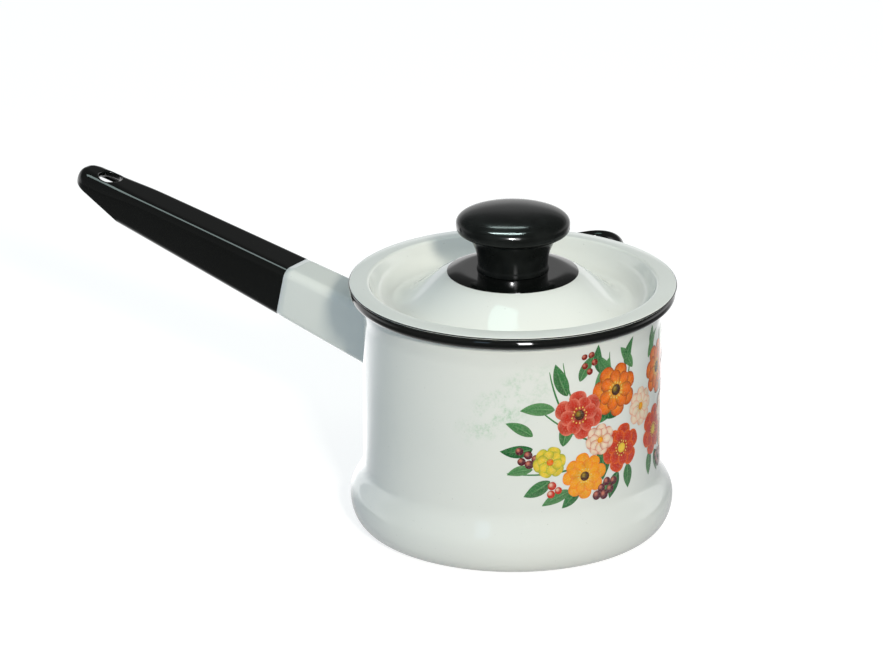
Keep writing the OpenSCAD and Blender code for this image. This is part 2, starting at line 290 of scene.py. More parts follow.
def enamel(name, colour, deep, speck, roughness=0.06):
    """Vitreous enamel: deep gloss with a faint orange peel, slow drifts of tone and a few fine specks."""
    material, tree, bsdf = shader(name, colour, roughness, Coat_Weight=0.4, Coat_Roughness=0.03)
    drift = remap(tree, noise(tree, 14, 2), 0.35, 0.65, 0, 1)
    tone = blend(tree, drift, colour, deep)
    specks = remap(tree, noise(tree, 900, 1), 0.77, 0.8, 0, 1)
    tree.links.new(blend(tree, specks, tone, speck), bsdf.inputs["Base Color"])
    worn = remap(tree, noise(tree, 45, 4), 0.3, 0.7, roughness * 0.7, roughness * 1.5)
    tree.links.new(worn, bsdf.inputs["Roughness"])
    bump(tree, bsdf, noise(tree, 120, 2), 0.05, 0.0002)
    return material


def brushed(name, colour, roughness):
    """Turned or drawn metal with fine streaks."""
    material, tree, bsdf = shader(name, colour, roughness, Metallic=1.0)
    streaks = noise(tree, 700, vector=mapped(tree, place_in(tree), Scale=(1, 1, 12)))
    worn = remap(tree, streaks, 0.3, 0.7, roughness * 0.8, roughness * 1.3)
    tree.links.new(worn, bsdf.inputs["Roughness"])
    bump(tree, bsdf, streaks, 0.1, 0.00005)
    return material


def bakelite(name, colour):
    """Pressed black plastic: softly polished, with faint flow lines and handling haze."""
    material, tree, bsdf = shader(name, colour, 0.16, Specular_IOR_Level=0.15)
    haze = remap(tree, noise(tree, 30, 5), 0.3, 0.7, 0.11, 0.2)
    tree.links.new(haze, bsdf.inputs["Roughness"])
    flow = remap(tree, noise(tree, 90, 3), 0.4, 0.7, 0, 1)
    greyer = tuple(c * 1.6 + 0.002 for c in colour)
    tree.links.new(blend(tree, flow, colour, greyer), bsdf.inputs["Base Color"])
    bump(tree, bsdf, noise(tree, 260, 2), 0.04, 0.0001)
    return material


def add_mist(material):
    """A faint speckled green mist in the enamel beside the printed flowers, outside the wall alone."""
    tree = material.node_tree
    bsdf = tree.nodes["Principled BSDF"]
    plain = bsdf.inputs["Base Color"].links[0].from_socket
    local = mapped(
        tree,
        place_in(tree),
        "TEXTURE",
        Location=Vector(MIST_MIDDLE) * MM,
        Rotation=(0, math.radians(-38), math.radians(28)),
        Scale=Vector(MIST_REACH) * MM,
    )
    near = remap(tree, length_of(tree, local), 0.35, 1.0, 1, 0)
    cloud = remap(tree, noise(tree, 130, 4, 0.65), 0.42, 0.64, 0, 1)
    grain = remap(tree, noise(tree, 700, 2, 0.6), 0.4, 0.66, 0.15, 1)
    # The mist sets in just under the wall's outer face, so that the inside stays plain.
    radius = length_of(tree, mapped(tree, place_in(tree), Scale=(1, 1, 0)))
    skin = (WALL_R - MIST_SKIN) * MM
    outside = remap(tree, radius, skin, skin + MIST_FADE * MM, 0, 1)
    share = near
    for other in (cloud, grain, outside):
        product = tree.nodes.new("ShaderNodeMath")
        product.operation = "MULTIPLY"
        tree.links.new(share, product.inputs[0])
        tree.links.new(other, product.inputs[1])
        share = product.outputs[0]
    tree.links.new(blend(tree, share, plain, (0.4, 0.58, 0.44)), bsdf.inputs["Base Color"])
    return material


def printed():
    """Ceramic print fired on the enamel. Its colour is the sheet's tints, broken up by a fine grain."""
    material, tree, bsdf = shader("fired_print", (0.5, 0.5, 0.5), 0.07, Coat_Weight=0.4, Coat_Roughness=0.03)
    tint = tree.nodes.new("ShaderNodeAttribute")
    tint.attribute_name = "tint"
    grain = remap(tree, noise(tree, 1400, 2), 0.45, 0.8, 0, 0.14)
    wash = remap(tree, noise(tree, 260, 4), 0.5, 0.75, 0, 0.25)
    pale = blend(tree, grain, tint.outputs["Color"], (0.75, 0.72, 0.62))
    tree.links.new(blend(tree, wash, pale, (0.03, 0.05, 0.03)), bsdf.inputs["Base Color"])
    tree.links.new(remap(tree, noise(tree, 60, 3), 0.3, 0.7, 0.05, 0.11), bsdf.inputs["Roughness"])
    bump(tree, bsdf, noise(tree, 500, 2), 0.04, 0.0001)
    return material


WHITE_SPECK = (0.6, 0.61, 0.6)
WHITE = enamel("white_enamel", (0.80, 0.815, 0.80), (0.775, 0.795, 0.785), WHITE_SPECK)
# The pot's white is the lid's enamel painted about 6 % darker, as painted shade on the body; the green mist
# goes on top.
SHADED_MISTY = add_mist(enamel("printed_enamel_painted_shade", (0.755, 0.765, 0.755), (0.73, 0.745, 0.74), WHITE_SPECK))
PRINT = printed()
BLACK = enamel("black_enamel", (0.003, 0.0036, 0.0033), (0.0042, 0.005, 0.0046), (0.015, 0.016, 0.015), 0.05)
KNOB = bakelite("black_bakelite", (0.0075, 0.0085, 0.0083))
STEEL = brushed("screw_steel", (0.56, 0.57, 0.58), 0.3)
BRASS = brushed("insert_brass", (0.72, 0.52, 0.24), 0.32)

# Pot


def lip_share(angle):
    d = abs(angle - LIP_ANGLE)
    return (1 + math.cos(math.pi * d / LIP_HALF)) / 2 if d < LIP_HALF else 0.0


def lip_up(share):
    return LIP_RISE * smooth((share - LIP_LEVEL) / (1 - LIP_LEVEL))


def lip_slope(angle):
    d = angle - LIP_ANGLE
    return -LIP_REACH * 90 / LIP_HALF * math.sin(math.pi * d / LIP_HALF) if abs(d) < LIP_HALF else 0.0


def rim_point(angle, r, z, follow):
    """A point of the rim or wall. The line through the roll's middle bends out in the lip.

    Follow is how far the point bends with it, from 0 to 1. The point keeps its distance to the line.
    """
    mid = ROLL_MID_R + LIP_REACH * follow * lip_share(angle)
    slope = lip_slope(angle) * follow
    along = math.hypot(mid, slope)
    off = r - ROLL_MID_R
    out, side = mid + off * mid / along, off * slope / along
    c, s = math.cos(math.radians(angle)), math.sin(math.radians(angle))
    return (out * c + side * s, out * s - side * c, z + follow * lip_up(lip_share(angle)))


def flare(z):
    return MOUTH_FLARE * smooth((z - ROLL_FOOT_Z) / FLARE_H + 1)


RIM_ANGLES = [LIP_ANGLE - LIP_HALF + i * 2 * LIP_HALF / 62 for i in range(62)] + [
    LIP_ANGLE + LIP_HALF + i * (360 - 2 * LIP_HALF) / 200 for i in range(200)
]


def rim_sweep(name, section, material, replaces, closed=True):
    """Sweeps a section of points (radius, height, follow) round the pot and through its lip."""
    points = [rim_point(a, *p) for a in RIM_ANGLES for p in section]
    faces = grid_faces(len(RIM_ANGLES), len(section), close_rows=True, close_columns=closed)
    sharpen(piece(name, points, faces, "pot", material, replaces), 50)


def make_pot():
    corner = [
        (mix(FOOT_R, BELL_R, math.sin(q)), BELL_Z * (1 - math.cos(q)))
        for q in [math.pi / 2 * i / 20 for i in range(21)]
    ]
    bell = [
        (WALL_R + (BELL_R - WALL_R) * (1 + math.cos(q)) / 2, mix(BELL_Z, BELL_TOP, q / math.pi))
        for q in [math.pi * i / 24 for i in range(25)]
    ]
    low = joined([(r, 0) for r in BASE_RINGS], corner, bell)
    inside = shifted(low, WALL_T)
    band_foot = ROLL_FOOT_Z - LIP_H
    heights = [mix(BELL_TOP, band_foot, i / 12) for i in range(1, 12)]
    band = [mix(band_foot, ROLL_FOOT_Z, i / 30) for i in range(31)]

    def side(start, wall):
        follow = [smooth((z - band_foot - LIP_START) / (LIP_H - LIP_START)) for z in band]
        straight = [(r, z, 0) for r, z in start] + [(wall, z, 0) for z in heights]
        return straight + [(wall + flare(z), z, f) for z, f in zip(band, follow)]

    section = side(low, WALL_R) + side(inside, INNER_R)[::-1]
    rim_sweep("pot_enamel", section, SHADED_MISTY, ["pot_shell"], closed=False)


def make_rim():
    roll = arc((ROLL_MID_R, ROLL_MID_Z), ROLL_R, ROLL_START_ANGLE, 180, 40)
    section = [(WALL_R + MOUTH_FLARE, ROLL_FOOT_Z, 1)] + [(r, z, 1) for r, z in roll]
    section.append((INNER_R + MOUTH_FLARE, ROLL_FOOT_Z, 1))
    rim_sweep("rim_enamel", section, BLACK, ["rolled_rim"])


# Printed flowers

RED, DARK_RED, PINK = (0.56, 0.03, 0.014), (0.2, 0.008, 0.006), (0.8, 0.24, 0.16)
ORANGE, AMBER, YELLOW = (0.85, 0.15, 0.008), (0.86, 0.33, 0.012), (0.85, 0.58, 0.05)
LIME, GREEN, DEEP, PALE = (0.2, 0.34, 0.03), (0.02, 0.16, 0.045), (0.004, 0.05, 0.016), (0.2, 0.44, 0.18)
PURPLE, BROWN, CREAM = (0.075, 0.012, 0.03), (0.05, 0.022, 0.012), (0.84, 0.7, 0.55)
PRINT_LIFT, PRINT_STEP = 0.03, 0.0012


def wall_at(z):
    """Outside radius of the pot at a height."""
    down = min(1.0, max(0.0, (z - BELL_Z) / (BELL_TOP - BELL_Z)))
    return WALL_R + flare(z) + (BELL_R - WALL_R) * (1 + math.cos(math.pi * down)) / 2


def shaded(a, b, t):
    return tuple(mix(p, q, t) for p, q in zip(a, b))


class Print:
    """Sheets of colour on the wall. A place is a length around it from +X and a height above the foot."""

    def __init__(self):
        self.points, self.faces, self.tints = [], [], []
        self.lift = PRINT_LIFT

    def petal(
        self,
        base,
        aim,
        length,
        width,
        colour,
        bend=0.0,
        root=0.8,
        end=0.8,
        steps=12,
        across=8,
        step_up=PRINT_STEP,
    ):
        """A leaf, petal or disc from its base. Colour is a function of the shares along it and across it."""
        first = len(self.points)
        peak = (root / (root + end)) ** root * (end / (root + end)) ** end
        s, z = base
        last = 0.0
        for i in range(steps + 1):
            t = (1 - math.cos(math.pi * i / steps)) / 2
            q = math.radians(aim + bend * t)
            s += length * (t - last) * math.cos(q)
            z += length * (t - last) * math.sin(q)
            last = t
            half = width / 2 * max(0.0, t) ** root * max(0.0, 1 - t) ** end / peak
            for j in range(across + 1):
                u = 2 * j / across - 1
                here_s, here_z = s + half * u * math.sin(q), z - half * u * math.cos(q)
                r, a = wall_at(here_z) + self.lift, here_s / WALL_R
                self.points.append((r * math.cos(a), r * math.sin(a), here_z))
                self.tints.append(colour(t, u))
        for f in grid_faces(steps + 1, across + 1):
            self.faces.append(tuple(first + k for k in reversed(f)))
        self.lift += step_up

    def leaf(self, base, aim, length, width, bend=0.0, light=0.0):
        def colour(t, u):
            side = shaded(DEEP, GREEN, 0.25 + 0.5 * t if u < 0 else 0.6 + 0.4 * t)
            side = shaded(side, PALE, light * (0.4 + 0.6 * abs(u)))
            vein = max(0.0, 1 - abs(u) * 7) * (1 - t) + 0.25 * max(0.0, math.sin(26 * t - 5 * abs(u)) - 0.6)
            return shaded(side, PALE, min(1.0, 0.8 * vein))

        self.petal(base, aim, length, width, colour, bend, root=0.75, end=1.0, steps=18, across=12)

    def blossom(self, middle, radius, count, turn, inner, outer, edge, heart):
        """An open flower: a wide ring of petals, a closer one on it, and a heart with stamens."""
        for size, twist, ring in ((1.0, 0.0, 0.0), (0.74, 0.5, 0.35)):
            for i in range(count):
                aim = turn + 360 * (i + twist) / count + RNG.uniform(-4, 4)
                length = radius * size * RNG.uniform(0.93, 1.0)

                def colour(t, u):
                    tone = shaded(inner, outer, smooth(1.4 * t - 0.2 + ring))
                    rimmed = shaded(tone, edge, 0.75 * abs(u) ** 3 + 0.55 * max(0, t - 0.7))
                    fold = 0.5 + 0.5 * math.cos(9 * u + 2 * t)
                    return shaded(rimmed, inner, 0.35 * fold * (1 - t))

                width = length * 3.4 / count + 2.2
                self.petal(middle, aim, length, width, colour, RNG.uniform(-10, 10), 0.9, 0.42)
        self.disc(middle, radius * 0.2, heart, shaded(heart, YELLOW, 0.5))
        for i in range(14):
            q = math.radians(turn + 360 * i / 14)
            away = radius * RNG.uniform(0.24, 0.32)
            spot = (middle[0] + away * math.cos(q), middle[1] + away * math.sin(q))
            self.disc(spot, radius * 0.035, YELLOW, CREAM, 4, 0.0)
        self.lift += PRINT_STEP

    def disc(self, middle, r, colour, light, steps=8, step_up=PRINT_STEP):
        def tone(t, u):
            across = u * 2 * math.sqrt(max(0.0, t * (1 - t)))
            off = math.hypot(2 * t - 1 - 0.3, across + 0.3)
            rim = math.hypot(2 * t - 1, across)
            return shaded(shaded(colour, light, max(0.0, 1 - 1.5 * off)), DARK_RED, 0.35 * rim**4)

        self.petal((middle[0], middle[1] - r), 90, 2 * r, 2 * r, tone, 0, 0.5, 0.5, steps, steps, step_up)

    def berries(self, places, r, colour, light):
        for s, z in places:
            self.disc((s, z), r * RNG.uniform(0.88, 1.08), colour, light)

    def stem(self, base, aim, length, bend, colour=GREEN, width=0.9):
        def lit(t, u):
            return shaded(colour, PALE, 0.3 * (u + 1) * t)

        self.petal(base, aim, length, width, lit, bend, 0.12, 0.3, 20, 2)


RNG = random.Random(7)
# Bunches of berries: their places, radius, colour and light. The first two lie under the blossoms.
BERRIES = (
    (((62, 57), (65, 54), (61.5, 52.5), (66, 59), (58.5, 55)), 2.1, PURPLE, PINK),
    (((33, 94), (35.5, 97), (30.5, 98), (36, 101.5), (32.5, 102)), 1.7, DARK_RED, PINK),
    (((23, 39), (26, 36.5), (21, 35), (24.5, 33), (28.5, 33.5), (19, 38.5)), 2.2, PURPLE, PINK),
    (((48, 39), (51, 41.5), (51.5, 37.5)), 1.9, RED, CREAM),
)


def make_print():
    """Two mirrored bunches of garden flowers that meet at the side opposite the handle."""
    art = Print()
    for side in (-1, 1):
        art.lift = PRINT_LIFT

        def at(s, z):
            return (side * s, z)

        def aimed(a):
            return a if side > 0 else 180 - a

        for s, z, a, length, bend in (
            (30, 60, 52, 44, 30), (22, 56, 20, 46, 26), (34, 50, -14, 38, 22), (18, 80, 70, 22, 16),
            (12, 78, 105, 24, -10), (44, 72, 60, 26, 20),
        ):
            art.stem(at(s, z), aimed(a), length, side * bend)
        for s, z, a, length, width, bend, light in (
            (44, 84, 62, 17, 6.5, 14, 0.2), (50, 78, 12, 16, 6.2, -20, 0.5), (38, 90, 112, 14, 5.2, 16, 0.3),
            (30, 84, 128, 17, 6.0, -18, 0.6), (27, 92, 70, 15, 4.6, 20, 0.1), (12, 92, 100, 14, 4.6, 10, 0.2),
            (7, 90, 62, 15, 5.0, -16, 0.5), (20, 90, 40, 15, 5.0, 20, 0.3), (60, 66, 40, 14, 5.2, -24, 0.4),
            (60, 60, -18, 15, 6.0, 26, 0.0), (52, 44, -40, 14, 6.4, 18, 0.2), (60, 50, 4, 12, 4.8, -30, 0.5),
            (38, 40, -62, 13, 6.0, 22, 0.1), (24, 40, -100, 9, 5.0, 14, 0.3), (42, 38, -14, 15, 5.4, -18, 0.4),
            (10, 44, -100, 12, 6.0, 12, 0.2), (16, 42, -58, 13, 6.2, -16, 0.0),
            (34, 70, 168, 22, 8.0, -20, 0.2), (16, 70, 24, 20, 8.6, 20, 0.0), (24, 58, -80, 18, 8.6, -12, 0.1),
            (46, 60, 100, 18, 7.0, 18, 0.3),
        ):
            art.leaf(at(s, z), aimed(a), length, width, side * bend, light)
        for places, r, colour, light in BERRIES[:2]:
            art.berries([at(*p) for p in places], r, colour, light)
        art.blossom(at(18, 82), 13.5, 7, 20, YELLOW, ORANGE, DARK_RED, BROWN)
        art.blossom(at(35, 44), 11.5, 8, 5, YELLOW, AMBER, ORANGE, BROWN)
        art.blossom(at(38, 74), 12.5, 6, 40, DARK_RED, RED, PINK, BROWN)
        art.blossom(at(52, 53), 8.0, 6, 10, LIME, YELLOW, LIME, ORANGE)
        art.blossom(at(14, 53), 12.0, 6, 14, DARK_RED, RED, ORANGE, YELLOW)
        art.blossom(at(27, 60), 8.0, 7, 30, PINK, CREAM, RED, AMBER)
        for places, r, colour, light in BERRIES[2:]:
            art.berries([at(*p) for p in places], r, colour, light)
    art.blossom((0, 69), 9.5, 8, 0, CREAM, CREAM, PINK, AMBER)
    piece("flower_print", art.points, art.faces, "pot", PRINT, tints=art.tints)


# Handle


def bow(x):
    return 4 * HANDLE_BOW * x / HANDLE_LEN * (1 - x / HANDLE_LEN)


def top_z(x):
    n = min(1.0, max(0.0, (x - HANDLE_LEN + NOSE_R) / NOSE_R))
    return bow(x) - NOSE_R * (1 - math.sqrt(1 - n * n))


def half_w(x):
    n = min(1.0, max(0.0, (x - HANDLE_LEN + TIP_CORNER) / TIP_CORNER))
    return mix(ROOT_W, TIP_W, x / HANDLE_LEN) / 2 - TIP_CORNER * (1 - math.sqrt(1 - n * n))


def opened(x):
    return smooth((x - HANDLE_LEN + SCOOP_LEN) / SCOOP_BLEND)


def bottom_z(x):
    start = HANDLE_LEN - SCOOP_LEN
    closed = -mix(ROOT_DEPTH, SCOOP_DEPTH, x / start)
    scoop = mix(SCOOP_STEP - SCOOP_DEPTH, -TIP_DEPTH, max(0.0, (x - start) / SCOOP_LEN))
    return min(mix(closed, scoop, opened(x)), top_z(x) - TIP_EDGE)


def edge_round(x):
    """Radius of the top's long edges, which grow into a dome around the hanging hole."""
    return mix(TOP_ROUND, TIP_ROUND, smooth((x - HANDLE_LEN + SCOOP_LEN / 2 + DOME_RUN) / DOME_RUN))


def far_cut(x):
    """How much the far skirt is cut back beside the hanging hole, which the solid's partly hides."""
    return FAR_CUT * smooth((x - HANDLE_LEN + HOLE_INSET + FAR_CUT_BEFORE) / FAR_CUT_BLEND)


def half_section(x, grow=0.0, cut=0.0):
    """Right half of the handle's open section, from the seam's edge to beside the top's middle, as (y, z).

    Grow moves it outwards and cut shortens its skirt from below.
    """
    w, low, top = half_w(x) + grow, bottom_z(x) - grow, top_z(x) + grow
    tall = top - low
    low_r = max(LEAST_ROUND, min(mix(BOTTOM_ROUND, LEAST_ROUND, opened(x)) + grow, tall / 3))
    top_r = max(LEAST_ROUND, min(edge_round(x) + grow, tall - low_r, w - MIN_GAP))
    low = min(low + cut, max(low, top - top_r - low_r))
    edge = max(MIN_GAP, mix(SEAM_W / 2, half_w(x) - HANDLE_T - HEM, opened(x)))
    nip = 0.3 * HEM_ROUND
    points = [(edge, low + HEM_ROUND), (edge + nip, low + nip), (edge + HEM_ROUND, low)]
    points += arc((w - low_r, low + low_r), low_r, -90, 0, 8)
    points += [(w, mix(low + low_r, top - top_r, t)) for t in (0.33, 0.67)]
    points += arc((w - top_r, top - top_r), top_r, 0, 90, 12)
    points += [((w - top_r) * t, top) for t in (0.75, 0.5, 0.25)]
    return points


def open_section(x, grow=0.0):
    """The whole section as (y, z), from the near edge of the seam over the top to its far edge."""
    far = half_section(x, grow, far_cut(x))
    return half_section(x, grow) + [(0.0, top_z(x) + grow)] + [(-y, z) for y, z in reversed(far)]


TILT_COS, TILT_SIN = math.cos(math.radians(HANDLE_TILT)), math.sin(math.radians(HANDLE_TILT))


def placed(x, y, z):
    """A point of the handle's own frame in the CAD frame. X runs out along the top and Z is square to it."""
    return (-(WALL_R + x * TILT_COS - z * TILT_SIN), -y, HANDLE_ROOT_Z + x * TILT_SIN + z * TILT_COS)


def root_x(y, z):
    """Where a point of the handle's section meets the round wall, as x in the handle's frame."""
    return (math.sqrt(WALL_R**2 - y * y) - WALL_R + z * TILT_SIN) / TILT_COS


def thicken(obj, thickness):
    """Gives an open sheet its thickness, inwards from its outer face."""
    wall = obj.modifiers.new("sheet", "SOLIDIFY")
    wall.thickness = thickness * MM
    wall.offset = -1
    wall.use_even_offset = True
    wall.use_quality_normals = True


def root_start(j):
    """The same for point j, whose section changes with x, so that a few rounds close in on it."""
    x = 0.0
    for _ in range(6):
        x = root_x(*open_section(x)[j])
    return x


def make_neck():
    """The white root: sheet swept from the round wall to the dip line."""
    steps = 16
    starts = [root_start(j) for j in range(len(open_section(0)))]
    points = []
    for i in range(steps + 1):
        for j, start in enumerate(starts):
            x = mix(start, DIP_LINE, i / steps)
            points.append(placed(x, *open_section(x)[j]))
    faces = grid_faces(steps + 1, len(starts))
    neck = piece("handle_neck_enamel", points, faces, "pot", WHITE, ["handle_neck"])
    thicken(neck, HANDLE_T)


def skin_z(x, y, grow):
    """Height of the top of the handle's skin, with its rounded long edges."""
    round_r = edge_round(x) + grow
    over = max(0.0, abs(y) - (half_w(x) + grow - round_r))
    return top_z(x) + grow - round_r + math.sqrt(max(0.0, round_r**2 - over * over))


def make_grip():
    """The black end: sheet swept to the tip, outside and inside, with a collar through the hanging hole."""
    start, hole_x = HANDLE_LEN - SCOOP_LEN, HANDLE_LEN - HOLE_INSET
    shares = [i / 26 * 0.8 for i in range(1, 27)]
    shares += [0.8 + 0.2 * math.sin(math.pi / 2 * i / 16) for i in range(1, 17)]

    def places(end):
        xs = [mix(DIP_LINE, start, i / 24) for i in range(24)]
        xs += [start + SCOOP_BLEND * t for t in (0, 0.15, 0.3, 0.45, 0.6, 0.75, 0.9, 1)]
        return xs + [mix(start + SCOOP_BLEND, end, t) for t in shares]

    flat, layers = [], []
    for end, grow in ((HANDLE_LEN, 0.0), (HANDLE_LEN - HANDLE_T, -HANDLE_T)):
        layers.append(len(flat))
        for x in places(end):
            flat += [(x, y, z) for y, z in open_section(x, grow)]
    outer_xs = places(HANDLE_LEN)
    rows, n = len(outer_xs), len(open_section(0))
    size = layers[1]

    # The grids give way around the hole to rings that run from a rectangle to a circle.
    grid = grid_faces(rows, n)
    gone = {
        k
        for k, (x, y, z) in enumerate(flat[:size])
        if abs(x - hole_x) < HOLE_PATCH_X and abs(y) < HOLE_PATCH_Y and z > top_z(x) - TOP_ROUND
    }
    kept = [f for f in grid if not any(k in gone for k in f)]
    faces = kept + [tuple(k + size for k in reversed(f)) for f in kept]
    edges = {(a, b) for f in grid if any(k in gone for k in f) for a, b in zip(f, f[1:] + f[:1])}
    border = {a: b for a, b in edges if (b, a) not in edges}
    loop = [min(border)]
    while border[loop[-1]] != loop[0]:
        loop.append(border[loop[-1]])
    turns = [math.atan2(flat[v][1], flat[v][0] - hole_x) for v in loop]

    def ring(points):
        first = len(flat)
        flat.extend(points)
        return list(range(first, first + len(loop)))

    def rings_to(ids, mouth, grow, steps=6):
        out = [ids]
        for k in range(1, steps + 1):
            points = []
            for v, q in zip(ids, turns):
                away = mix(math.hypot(flat[v][0] - hole_x, flat[v][1]), mouth, k / steps)
                x, y = hole_x + away * math.cos(q), away * math.sin(q)
                points.append((x, y, skin_z(x, y, grow)))
            out.append(ring(points))
        return out

    level = top_z(hole_x)
    mouth = HOLE_R + HOLE_ROUND
    rings = rings_to(loop, mouth, 0.0)
    drops = [flat[v][2] - level for v in rings[-1]]
    collar = arc((mouth, -HOLE_ROUND), HOLE_ROUND, 90, 180, 8)[1:]
    third = COLLAR_T / 3
    nip = third / 3
    foot = [(0, third), (nip, nip), (third, 0), (2 * third, 0), (COLLAR_T - nip, nip), (COLLAR_T, third)]
    collar += [(HOLE_R, -COLLAR_MID)] + [(HOLE_R + r, z - COLLAR_H) for r, z in foot]
    for r, z in collar:
        keep = max(0.0, 1 + z / HOLE_ROUND)
        heights = [level + z + d * keep for d in drops]
        rings.append(ring([(hole_x + r * math.cos(q), r * math.sin(q), h) for q, h in zip(turns, heights)]))
    rings += rings_to([v + size for v in loop], HOLE_R + COLLAR_T, -HANDLE_T)[::-1]
    for a, b in zip(rings, rings[1:]):
        for i in range(len(loop)):
            k = (i + 1) % len(loop)
            faces.append((a[i], a[k], b[k], b[i]))

    # The two long edges of the sheet and the walls that close the tip.
    for i in range(rows - 1):
        for j in (0, n - 1):
            a, b = i * n + j, (i + 1) * n + j
            faces.append((a, a + size, b + size, b) if j == 0 else (a, b, b + size, a + size))
    tip = (rows - 1) * n
    faces.append(tuple(tip + j for j in range(n)))
    faces.append(tuple(size + tip + j for j in reversed(range(n))))
    faces.append((tip + n - 1, tip, tip + size, tip + size + n - 1))
    points = [placed(*p) for p in flat]
    sharpen(piece("handle_grip_enamel", points, faces, "pot", BLACK, ["handle_grip"]), 55)


def make_weld():
    """The enamelled weld: a small round fillet between the wall and the handle, right round the root."""
    steps = 6
    outline = open_section(0)
    middle_z = -ROOT_DEPTH / 2
    points = []
    for y0, z0 in outline:
        n = math.hypot(y0, z0 - middle_z)
        for i in range(steps + 1):
            q = math.pi / 2 * i / steps
            away = WELD * (1 - math.sin(q)) / n
            y, z = y0 + y0 * away, z0 + (z0 - middle_z) * away
            points.append(placed(root_x(y, z) + WELD * (1 - math.cos(q)), y, z))
    faces = grid_faces(len(outline), steps + 1)
    piece("handle_weld_enamel", points, faces, "pot", WHITE, ["handle_weld"])


# Lid and knob

FLANGE_Z = RIM_TOP + LID_T
FLANGE_IN_R = INNER_R + MOUTH_FLARE - LID_PLAY


def lid_paths():
    """Upper outline of the lid from its middle to its edge, and the height of its boss."""
    sunk, cone = math.radians(SUNK_SLOPE), math.radians(CONE_SLOPE)
    wall_run = (SUNK_DEPTH - (SUNK_ROUND + CREASE_ROUND) * (1 - math.cos(sunk))) / math.tan(sunk)
    valley_r = FLANGE_IN_R - (CREASE_ROUND + SUNK_ROUND) * math.sin(sunk) - wall_run
    cone_run = valley_r - BOSS_R - (VALLEY_ROUND + BOSS_ROUND) * math.sin(cone)
    valley_z = FLANGE_Z - SUNK_DEPTH
    boss_z = valley_z + (VALLEY_ROUND + BOSS_ROUND) * (1 - math.cos(cone)) + cone_run * math.tan(cone)
    slope = [
        (mix(BOSS_R, valley_r, t), mix(valley_z, boss_z, (1 + math.cos(math.pi * t**SLOPE_FULLNESS)) / 2))
        for t in [i / 60 for i in range(61)]
    ]
    path = joined(
        [(LID_BORE_R, boss_z), (BOSS_FLAT_R, boss_z)],
        slope,
        arc((valley_r, valley_z + SUNK_ROUND), SUNK_ROUND, 270, 270 + SUNK_SLOPE, 20),
        arc((FLANGE_IN_R, FLANGE_Z + FLANGE_FALL - CREASE_ROUND), CREASE_ROUND, 90 + SUNK_SLOPE, 90, 12),
        [(mix(FLANGE_IN_R, LID_R, 0.5), FLANGE_Z + FLANGE_FALL / 2), (LID_R - EDGE_W - EDGE_ROUND, FLANGE_Z)],
    )
    return path, boss_z


def make_lid():
    """The lid with its black centre and dark edge. It gives back the height of its boss."""
    path, boss_z = lid_paths()
    under = shifted(path, -LID_T)
    edge = arc((LID_R - EDGE_W - EDGE_ROUND, FLANGE_Z - EDGE_ROUND), EDGE_ROUND, 90, 0, 4)
    edge += [(LID_R - EDGE_W, FLANGE_Z - LID_T)]
    outline = joined(path, edge, under[::-1])
    lathe("lid_enamel", outline, "lid", WHITE, ["lid_shell"], closed=True)

    top = [p for p in path if p[0] < CENTRE_R]
    over = shifted(top, ENAMEL_T)
    (over_r, over_z), (low_r, low_z) = over[-1], top[-1]
    rounded = over[:-1] + [(over_r - CENTRE_NIP, over_z - CENTRE_NIP / 2)]
    middle = (mix(over_r, low_r, 0.6) + 4 * CENTRE_NIP, mix(over_z, low_z, 0.5))
    outline = joined(rounded, [middle], top[::-1])
    lathe("lid_centre_enamel", outline, "lid", BLACK, ["lid_centre"], closed=True)

    z = FLANGE_Z - EDGE_DROP
    ring = joined(
        [(LID_R - EDGE_W, z)],
        arc((LID_R - EDGE_H / 2, z - EDGE_H / 2), EDGE_H / 2, 90, -90, 6),
        [(LID_R - EDGE_W, z - EDGE_H)],
    )
    lathe("lid_edge_enamel", ring, "lid", BLACK, ["lid_edge"], steps=240, closed=True)
    return boss_z


# Control points of the knob's outline, as shares of the cap's radius and the knob's height. The cap's shoulder
# is a little rounder than the solid's.
CAP_SHARES = ((0, 1), (0.5, 1), (1, 0.96), (1, 0.77))
BRIM_SHARES = ((1, 0.77), (1, 0.59), (0.93, 0.655), (0.766, 0.57))
NECK_SHARES = ((0.766, 0.57), (0.713, 0.43), (0.613, 0.32), (0.613, 0.07))
FOOT_SHARE = 0.632


def make_knob(boss_z):
    base = boss_z + ENAMEL_T
    foot_r = FOOT_SHARE * CAP_R

    def scaled(shares):
        return [(x * CAP_R, base + y * KNOB_H) for x, y in shares]

    path = joined(
        bezier(scaled(CAP_SHARES), 30),
        bezier(scaled(BRIM_SHARES), 20),
        bezier(scaled(NECK_SHARES), 24),
        [(foot_r, base + KNOB_FOOT_H), (foot_r - KNOB_FOOT_W, base), (KNOB_BORE_R, base)],
    )
    path[0] = (0.0, path[0][1])
    lathe("knob_body", path, "lid", KNOB, ["knob"], crease=60)


def finish_cad_nodes():
    """Metal for the three nodes that are shown as the CAD has them."""
    for node, material in (("knob_screw", STEEL), ("flat_washer", STEEL), ("knob_insert", BRASS)):
        NODES[node].data.materials.clear()
        NODES[node].data.materials.append(material)


make_pot()
make_print()
make_rim()
make_neck()
make_grip()
make_weld()
make_knob(make_lid())
finish_cad_nodes()

# Camera, floor and light

CAMERA_TARGET = (-27.37, -17.44, 94.25)
CAMERA_AZIMUTH, CAMERA_ELEVATION, CAMERA_ROLL = 32.5, 20.24, 0.0016
CAMERA_DISTANCE = 2599.1
LENS = 231.6
FLOOR_R, LAMP_AIM_Z = 2500, 90
FLOOR_TURN = 10
BLACK_PIECES = ("rim_enamel", "handle_grip_enamel", "knob_body", "lid_centre_enamel")


def heading(azimuth, elevation):
    """Direction from the pot towards a place that lies this far round from the -Y side and this high."""
    a, e = math.radians(azimuth), math.radians(elevation)
    return Vector((math.sin(a) * math.cos(e), -math.cos(a) * math.cos(e), math.sin(e)))


